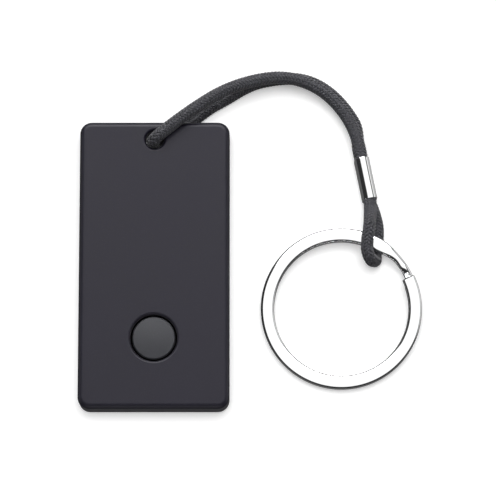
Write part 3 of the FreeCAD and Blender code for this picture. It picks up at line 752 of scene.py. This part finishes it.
def case_material(name, colour, rough, grain, dust, painted_shade_below_z=None):
    """Moulded plastic or rubber: fine grain (mm), faint rubs and a little dust.

    Below the painted-shade height (mm) it is painted near black, as shade on a button's sides in its gap.
    """
    mat, tree, shader = nodes_of(name)
    vector = coords(tree)
    broad = noise(tree, vector, 9.0, 3)
    rubs = ramp(tree, noise(tree, coords(tree, RUB_STRETCH), 0.35, 2), 0.69, 0.74, 0, -0.05)
    specks = ramp(tree, noise(tree, vector, 0.14, 0), 0.76, 0.80, 0, dust)
    clean = tint(tree, mottle(tree, broad, 0, 1), scaled(colour, 0.94), scaled(colour, 1.06))
    face_colour = tint(tree, specks, clean, DUST)
    shader.inputs["Specular IOR Level"].default_value = 0.15
    if painted_shade_below_z is not None:
        # Painted shade: below the given height the colour goes near black and the specular down, as shade in
        # the gap.
        above = ramp(tree, split_xyz(tree, vector)["Z"], (painted_shade_below_z - 0.1) * MM, painted_shade_below_z * MM, 0, 1)
        face_colour = tint(tree, above, PAINTED_GAP_SHADE, face_colour)
        tree.links.new(ramp(tree, above, 0, 1, 0.0, 0.25), shader.inputs["Specular IOR Level"])
    tree.links.new(face_colour, shader.inputs["Base Color"])
    uneven = mottle(tree, broad, rough - 0.03, rough + 0.03)
    tree.links.new(maths(tree, "ADD", uneven, rubs), shader.inputs["Roughness"])
    shader.inputs["Sheen Weight"].default_value = 0.03
    shader.inputs["Sheen Roughness"].default_value = 0.5
    bump(tree, shader, noise(tree, vector, grain, 2), 0.004)
    return mat


def chrome_material(name, colour, rough, stretch):
    """Plated steel: hairline polishing marks and faint handling haze."""
    mat, tree, shader = nodes_of(name)
    haze = noise(tree, coords(tree), 3.0, 4)
    hair = noise(tree, coords(tree, stretch), 0.09, 2)
    shader.inputs["Base Color"].default_value = (*colour, 1)
    shader.inputs["Metallic"].default_value = 1.0
    tree.links.new(ramp(tree, haze, 0.35, 0.7, rough * 0.6, rough * 1.7), shader.inputs["Roughness"])
    bump(tree, shader, hair, 0.0006)
    return mat


FILAMENTS = 18
FILAMENT_TWIST = 0.55
FILAMENT_WOBBLE = 0.10
# Painted shade in the valleys between yarns, and painted light on their crowns.
YARN_PAINTED_VALLEY_SHADE = (0.003, 0.003, 0.004)
YARN_CROWN_PAINTED_LIGHT = (0.044, 0.044, 0.052)


def cord_material():
    """Black polyester yarn: filaments along each yarn, painted valley shade and crown light, soft sheen,
    slight fading.
    """
    mat, tree, shader = nodes_of("cord_yarn")
    yarn_uv = split_xyz(tree, add(tree, "ShaderNodeTexCoord").outputs["UV"])
    around, along = yarn_uv["X"], yarn_uv["Y"]
    twisted = maths(tree, "MULTIPLY_ADD", along, FILAMENT_TWIST, around)
    wobbly = maths(tree, "MULTIPLY_ADD", noise(tree, coords(tree), 0.25, 2), FILAMENT_WOBBLE, twisted)
    wave = maths(tree, "SINE", maths(tree, "MULTIPLY", wobbly, 2 * math.pi * FILAMENTS))
    strand = ramp(tree, wave, -1, 1, 0, 1)
    fade = noise(tree, coords(tree), 1.6, 3)
    # Painted shade and light: the colour darkens from each yarn's crown down its sides into the valleys.
    crown = maths(tree, "SINE", maths(tree, "MULTIPLY", around, 2 * math.pi))
    top = ramp(tree, crown, 0.45, 1.0, 0.05, 1.0)
    shade = maths(tree, "MULTIPLY", ramp(tree, strand, 0, 1, 0.55, 1.0), mottle(tree, fade, 0.75, 1.25))
    colour = tint(tree, maths(tree, "MULTIPLY", shade, top), YARN_PAINTED_VALLEY_SHADE, YARN_CROWN_PAINTED_LIGHT)
    tree.links.new(colour, shader.inputs["Base Color"])
    tree.links.new(mottle(tree, fade, 0.5, 0.68), shader.inputs["Roughness"])
    shader.inputs["Sheen Weight"].default_value = 0.25
    shader.inputs["Sheen Roughness"].default_value = 0.35
    shader.inputs["Specular IOR Level"].default_value = 0.36
    bump(tree, shader, strand, 0.02, 0.8)
    return mat


def board_material():
    """Solder mask over a faint pattern of tracks."""
    mat, tree, shader = nodes_of("board_mask")
    vector = coords(tree)
    tracks = add(tree, "ShaderNodeTexVoronoi", Scale=1 / (1.6 * MM), feature="DISTANCE_TO_EDGE")
    tree.links.new(vector, tracks.inputs["Vector"])
    line = ramp(tree, tracks.outputs["Distance"], 0.05, 0.08, 1, 0)
    tree.links.new(tint(tree, line, (0.006, 0.055, 0.025), (0.02, 0.13, 0.06)), shader.inputs["Base Color"])
    tree.links.new(mottle(tree, noise(tree, vector, 0.6, 3), 0.22, 0.4), shader.inputs["Roughness"])
    bump(tree, shader, line, 0.02)
    return mat


# Height below which the button is painted near black, as shade in its gap.
BUTTON_PAINTED_SHADE_Z = 5.5
CASE = case_material("case_plastic", (0.0036, 0.0031, 0.0066), 0.44, 0.10, 0.03)
COVER = case_material("cover_plastic", (0.0036, 0.0031, 0.0064), 0.48, 0.10, 0.03)
BUTTON = case_material("button_rubber", (0.0145, 0.0150, 0.0180), 0.50, 0.07, 0.05, BUTTON_PAINTED_SHADE_Z)
CORD = cord_material()
RING_METAL = chrome_material("ring_chrome", (0.90, 0.905, 0.91), 0.045, (1, 1, 1))
FERRULE_METAL = chrome_material("ferrule_chrome", (0.88, 0.885, 0.89), 0.05, (1, 0.05, 1))
# Grain drawn out along one axis, as rolling or turning leaves it.
ROLLED_X = (0.1, 1, 1)
ROLLED_Y = (1, 0.1, 1)
TURNED_X = (0.08, 1, 1)
TURNED_Y = (1, 0.08, 1)
CONTACT_GOLD = (0.83, 0.64, 0.30)
# Each row: name, colour, roughness, metal, mottling, grain (mm), bump (mm), then grain direction.
PLAIN = {
    "main_board": board_material(),
    "board_screws": surface("screw_zinc", (0.62, 0.63, 0.64), 0.32, 1.0, 0.1, 0.08, 0.003),
    "radio_chip": surface("chip_epoxy", (0.030, 0.030, 0.032), 0.55, 0.0, 0.2, 0.05, 0.003),
    "radio_crystal": surface("crystal_can", (0.72, 0.71, 0.68), 0.28, 1.0, 0.08, 0.06, 0.002, ROLLED_Y),
    "clock_crystal": surface("crystal_can_2", (0.70, 0.70, 0.69), 0.30, 1.0, 0.08, 0.06, 0.002, ROLLED_X),
    "chip_antenna": surface("antenna_ceramic", (0.66, 0.72, 0.76), 0.35, 0.0, 0.06, 0.08, 0.002, coat=0.3),
    "boost_inductor": surface("ferrite", (0.10, 0.10, 0.105), 0.62, 0.0, 0.2, 0.07, 0.006),
    "capacitors": surface("capacitor_body", (0.40, 0.27, 0.16), 0.45, 0.0, 0.12, 0.06, 0.003),
    "resistors": surface("resistor_body", (0.045, 0.045, 0.05), 0.35, 0.0, 0.2, 0.05, 0.002, coat=0.4),
    "battery_can": surface("cell_nickel", (0.74, 0.74, 0.73), 0.26, 1.0, 0.05, 0.1, 0.002, TURNED_Y),
    "battery_cap": surface("cell_nickel_cap", (0.72, 0.72, 0.72), 0.30, 1.0, 0.05, 0.1, 0.002, TURNED_X),
    "battery_gasket": surface("cell_gasket", (0.78, 0.78, 0.74), 0.4, 0.0, 0.05, 0.1, 0.002),
    "battery_cathode": surface("cell_cathode", (0.022, 0.022, 0.022), 0.85, 0.0, 0.3, 0.06, 0.01),
    "battery_separator": surface("cell_separator", (0.80, 0.80, 0.77), 0.9, 0.0, 0.06, 0.05, 0.008),
    "battery_anode": surface("cell_lithium", (0.55, 0.56, 0.58), 0.55, 1.0, 0.12, 0.2, 0.006),
    "positive_contact": surface("contact_plate", CONTACT_GOLD, 0.28, 1.0, 0.06, 0.06, 0.002, ROLLED_Y),
    "negative_contact": surface("contact_plate_2", CONTACT_GOLD, 0.28, 1.0, 0.06, 0.06, 0.002, ROLLED_Y),
    "piezo_ring": surface("foam_adhesive", (0.05, 0.05, 0.05), 0.9, 0.0, 0.25, 0.12, 0.02),
    "piezo_plate": surface("piezo_brass", (0.72, 0.52, 0.24), 0.32, 1.0, 0.08, 0.1, 0.002, TURNED_Y),
    "piezo_ceramic": surface("piezo_silver", (0.78, 0.77, 0.74), 0.4, 0.6, 0.08, 0.08, 0.003),
    "piezo_leads": surface("lead_jacket", (0.45, 0.03, 0.03), 0.42, 0.0, 0.1, 0.05, 0.002),
    "switch_base": surface("switch_nylon", (0.035, 0.035, 0.037), 0.5, 0.0, 0.15, 0.06, 0.003),
    "switch_cover": surface("switch_steel", (0.68, 0.68, 0.67), 0.3, 1.0, 0.06, 0.06, 0.002, ROLLED_Y),
    "switch_dome": surface("dome_steel", (0.74, 0.73, 0.71), 0.24, 1.0, 0.05, 0.05, 0.001),
    "switch_plunger": surface("plunger_nylon", (0.62, 0.58, 0.48), 0.45, 0.0, 0.08, 0.05, 0.003),
    "switch_terminals": surface("terminal_tin", (0.66, 0.66, 0.65), 0.36, 1.0, 0.1, 0.05, 0.003),
}


def dress(obj, mat):
    """One material over the whole of an object."""
    obj.data.materials.clear()
    obj.data.materials.append(mat)
    for poly in obj.data.polygons:
        poly.material_index = 0


for piece in (cord_root, cord_middle, cord_last, cord_loop):
    dress(piece, CORD)
dress(ferrule, FERRULE_METAL)
dress(ring, RING_METAL)
cad = frame["nodes"]
dress(cad["front_shell"], CASE)
dress(cad["back_cover"], COVER)
dress(cad["push_button"], BUTTON)
for node, mat in PLAIN.items():
    dress(cad[node], mat)

# ---------------------------------------------------------------- floor (metres)
low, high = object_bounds()
centre = (low + high) / 2
FLOOR_HALF = 2.5
FLOOR_CELLS = 24
FLOOR_Z = -0.00005
# The floor's glow grows with distance, so that it meets the white sky without a grey edge.
GLOW_NEAR, GLOW_FAR = 0.30, 0.9
GLOW_FROM, GLOW_TO = 0.15, 0.6
# Painted reflection: mirror rays see the floor as a dark glow, lighter to rays from the camera's side.
PAINTED_REFLECTION_DARK, PAINTED_REFLECTION_LIGHT = 0.12, 0.50
LIGHT_TO_RAYS_FROM = (-0.45, -0.89, 0.0)
LIGHT_EDGE = (0.25, 0.6)


def floor_material():
    """Pale paper to the camera, and to mirror rays a painted reflection: a dark glowing sheet."""
    mat, tree, shader = nodes_of("floor_paper")
    shader.inputs["Base Color"].default_value = (0.86, 0.86, 0.86, 1)
    shader.inputs["Roughness"].default_value = 0.95
    shader.inputs["Specular IOR Level"].default_value = 0.1
    bump(tree, shader, noise(tree, coords(tree), 0.6, 2), 0.002)
    away = add(tree, "ShaderNodeVectorMath", operation="LENGTH")
    tree.links.new(coords(tree), away.inputs[0])
    glow = add(tree, "ShaderNodeEmission", Color=(1, 1, 1, 1))
    glow_level = ramp(tree, away.outputs["Value"], GLOW_FROM, GLOW_TO, GLOW_NEAR, GLOW_FAR)
    tree.links.new(glow_level, glow.inputs["Strength"])
    paper = add(tree, "ShaderNodeAddShader")
    tree.links.new(shader.outputs[0], paper.inputs[0])
    tree.links.new(glow.outputs[0], paper.inputs[1])
    incoming = add(tree, "ShaderNodeNewGeometry").outputs["Incoming"]
    facing = dot_with(tree, incoming, LIGHT_TO_RAYS_FROM)
    # Painted reflection: what mirror rays see of the floor is this fixed glow, not lit paper.
    mirrored = add(tree, "ShaderNodeEmission", Color=(1, 1, 1, 1))
    shade = ramp(tree, facing, *LIGHT_EDGE, PAINTED_REFLECTION_DARK, PAINTED_REFLECTION_LIGHT)
    tree.links.new(shade, mirrored.inputs["Strength"])
    seen = mix_shaders(tree, "Is Glossy Ray", paper, mirrored)
    tree.links.new(seen.outputs[0], tree.nodes["Material Output"].inputs["Surface"])
    return mat


def floor():
    """A wide pale sheet under the object, seen as plain white from above."""
    steps = np.linspace(-FLOOR_HALF, FLOOR_HALF, FLOOR_CELLS + 1)
    grid = [(centre.x + x, centre.y + y, FLOOR_Z) for y in steps for x in steps]
    row = FLOOR_CELLS + 1
    corners = [r * row + c for r in range(FLOOR_CELLS) for c in range(FLOOR_CELLS)]
    quads = [(k, k + 1, k + row + 1, k + row) for k in corners]
    obj = mesh_object("floor_sheet", np.array(grid) / MM, quads, shade_smooth=False)
    dress(obj, floor_material())
    return obj


# ---------------------------------------------------------------- lights (metres, watts)
FILL_SIZE = (0.6, 0.45)
KEY_SIZE = (0.50, 0.50)
KEY_WATTS = 7.0


def soft_light(name, place, size, watts):
    """A rectangular panel of light aimed at the object, and not seen in the metal."""
    data = bpy.data.lights.new(name, "AREA")
    data.shape = "RECTANGLE"
    data.size, data.size_y = size
    data.energy = watts
    obj = bpy.data.objects.new(name, data)
    bpy.context.scene.collection.objects.link(obj)
    obj.location = centre + Vector(place)
    obj.rotation_mode = "QUATERNION"
    obj.rotation_quaternion = (centre - obj.location).to_track_quat("-Z", "Y")
    obj.visible_glossy = False
    return obj


def case_fill(name, place, watts):
    """A low light for the case only, as flags would keep it off the bright metal."""
    obj = soft_light(name, place, FILL_SIZE, watts)
    obj.visible_glossy = True
    receivers = bpy.data.collections.new(name + "_receivers")
    for node in ("front_shell", "back_cover"):
        receivers.objects.link(cad[node])
    obj.light_linking.receiver_collection = receivers
    return obj


# ---------------------------------------------------------------- world
# The soft box overhead, by the slopes x/z and y/z of a mirrored ray at its edges.
BOX_LEVEL = 1.13
BOX_LEFT = (-0.64, -0.50)
BOX_RIGHT = (1.10, 1.30)
BOX_NEAR = (-0.65, -0.45)
LEAST_Z = 0.02
# Mirrored rays lower than this see neither the box nor the hot patch.
HORIZON = (0.38, 0.52)
HOT_TOWARDS = (0.0, 0.80, 0.60)
HOT_EDGE = (0.70, 1.0)
HOT_LEVEL = 15.0
SIDE_TOWARDS = (1.0, 0.2, -0.1)
SIDE_EDGE = (0.84, 0.89)
SIDE_LEVEL = 0.9
ROOM_LEVEL = 0.03
AMBIENT = 0.22


def mirrored_studio(tree):
    """What bright metal sees: a soft box, a hot patch past the tag, a side panel and a dark room."""
    way = add(tree, "ShaderNodeTexCoord").outputs["Generated"]
    axes = split_xyz(tree, way)
    height = maths(tree, "MAXIMUM", axes["Z"], LEAST_Z)
    across = maths(tree, "DIVIDE", axes["X"], height)
    along = maths(tree, "DIVIDE", axes["Y"], height)

    def panel(direction, edge, dim, bright):
        """A round patch of light about a direction; its edge is a range of cosines."""
        facing = dot_with(tree, way, Vector(direction).normalized())
        level = ramp(tree, facing, *edge, dim, bright)
        level.node.interpolation_type = "SMOOTHSTEP"
        return level

    left = ramp(tree, across, *BOX_LEFT, 0, 1)
    right = ramp(tree, across, *BOX_RIGHT, BOX_LEVEL, 0)
    near = ramp(tree, along, *BOX_NEAR, 0, 1)
    above = ramp(tree, axes["Z"], *HORIZON, 0, 1)
    width = maths(tree, "MULTIPLY", left, right)
    box = maths(tree, "MULTIPLY", width, maths(tree, "MULTIPLY", near, above))
    side = panel(SIDE_TOWARDS, SIDE_EDGE, ROOM_LEVEL, SIDE_LEVEL)
    hot = maths(tree, "MULTIPLY", panel(HOT_TOWARDS, HOT_EDGE, 0.0, HOT_LEVEL), above)
    return maths(tree, "ADD", maths(tree, "ADD", box, side), hot)


def world():
    """White to the camera, dim to matt surfaces, a studio to bright metal."""
    sky = bpy.data.worlds.new("studio")
    bpy.context.scene.world = sky
    sky.use_nodes = True
    tree = sky.node_tree
    tree.nodes.clear()
    gloss = add(tree, "ShaderNodeBackground", Color=(1, 1, 1, 1))
    tree.links.new(mirrored_studio(tree), gloss.inputs["Strength"])
    diffuse = add(tree, "ShaderNodeBackground", Color=(1, 1, 1, 1), Strength=AMBIENT)
    white = add(tree, "ShaderNodeBackground", Color=(1, 1, 1, 1), Strength=1.0)
    lighting = mix_shaders(tree, "Is Glossy Ray", diffuse, gloss)
    seen = mix_shaders(tree, "Is Camera Ray", lighting, white)
    out = add(tree, "ShaderNodeOutputWorld")
    tree.links.new(seen.outputs[0], out.inputs["Surface"])


floor()
case_fill("front_fill", (0.0, -0.60, 0.25), 1.9)
case_fill("left_fill", (-0.60, 0.0, 0.12), 1.8)
case_fill("right_fill", (0.60, 0.0, 0.12), 1.8)
soft_light("key_light", (0.0, 0.08, 0.87), KEY_SIZE, KEY_WATTS)
world()

scene = bpy.context.scene
scene.view_settings.view_transform = "Standard"
scene.view_settings.look = "None"

# ---------------------------------------------------------------- camera
ELEVATION = 80.0
LENS = 200.0
VIEW_SPAN = 0.0932
LOOK_SHIFT = Vector((-0.00048, -0.00238, 0.0))
lens_data = bpy.data.cameras.new("photo_camera")
lens_data.lens = LENS
camera = bpy.data.objects.new("photo_camera", lens_data)
scene.collection.objects.link(camera)
tip = math.radians(ELEVATION)
back = Vector((0, -math.cos(tip), math.sin(tip)))
camera.location = centre + LOOK_SHIFT + back * (VIEW_SPAN * LENS / lens_data.sensor_width)
camera.rotation_mode = "QUATERNION"
camera.rotation_quaternion = (-back).to_track_quat("-Z", "Y")
lens_data.clip_start, lens_data.clip_end = 0.01, 20
scene.camera = camera
